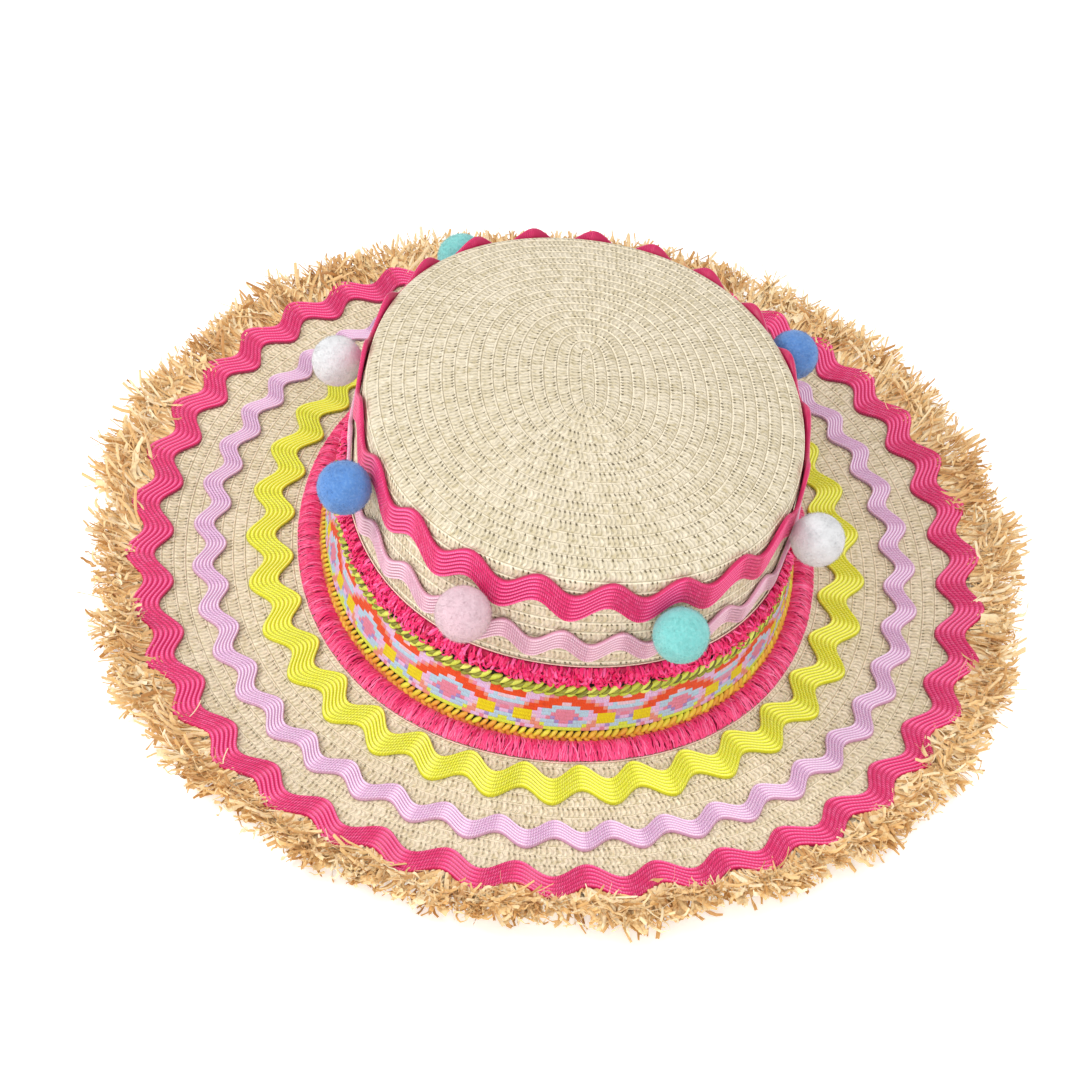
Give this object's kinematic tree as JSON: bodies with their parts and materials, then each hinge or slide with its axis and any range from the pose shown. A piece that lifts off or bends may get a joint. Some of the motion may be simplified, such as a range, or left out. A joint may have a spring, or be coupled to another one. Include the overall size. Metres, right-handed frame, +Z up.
{
  "type": "straw hat with pompoms",
  "caption": "Wide-brimmed oval straw hat with a short crown, rick-rack trims, wool pompoms, a woven band between fringes and a frayed raffia edge.",
  "frame": {"origin": "middle of the head opening in plan, at the height of the surface that the brim rests on", "axes": "+Z up through the crown, +Y along the long way of the oval, +X to the wearer's side"},
  "size_m": [0.3665, 0.4104, 0.0781],
  "materials": {
    "straw": "matt sewn paper braid",
    "hot_pink_braid": "matt rick-rack",
    "light_pink_braid": "satin rick-rack",
    "yellow_braid": "matt rick-rack",
    "lilac_braid": "satin rick-rack",
    "woven_band": "patterned jacquard",
    "lime_cord": "twisted thread",
    "gold_cord": "twisted thread",
    "hot_pink_fringe": "satin thread",
    "raffia": "dry frayed raffia",
    "light_pink_wool": "matt wool",
    "mint_wool": "matt wool",
    "white_wool": "matt wool",
    "blue_wool": "matt wool"
  },
  "bodies": {
    "root": {"crown": "straw", "brim": "straw", "crown_edge_trim": "hot_pink_braid", "crown_pompom_trim": "light_pink_braid", "brim_inner_trim": "yellow_braid", "brim_middle_trim": "lilac_braid", "brim_outer_trim": "hot_pink_braid", "band": "woven_band", "band_upper_cord": "lime_cord", "band_lower_cord": "gold_cord", "band_upper_fringe": "hot_pink_fringe", "band_lower_fringe": "hot_pink_fringe", "raffia_fringe": "raffia", "pompom_1": "light_pink_wool", "pompom_2": "mint_wool", "pompom_3": "white_wool", "pompom_4": "blue_wool", "pompom_5": "light_pink_wool", "pompom_6": "mint_wool", "pompom_7": "white_wool", "pompom_8": "blue_wool"}
  },
  "joints": []
}
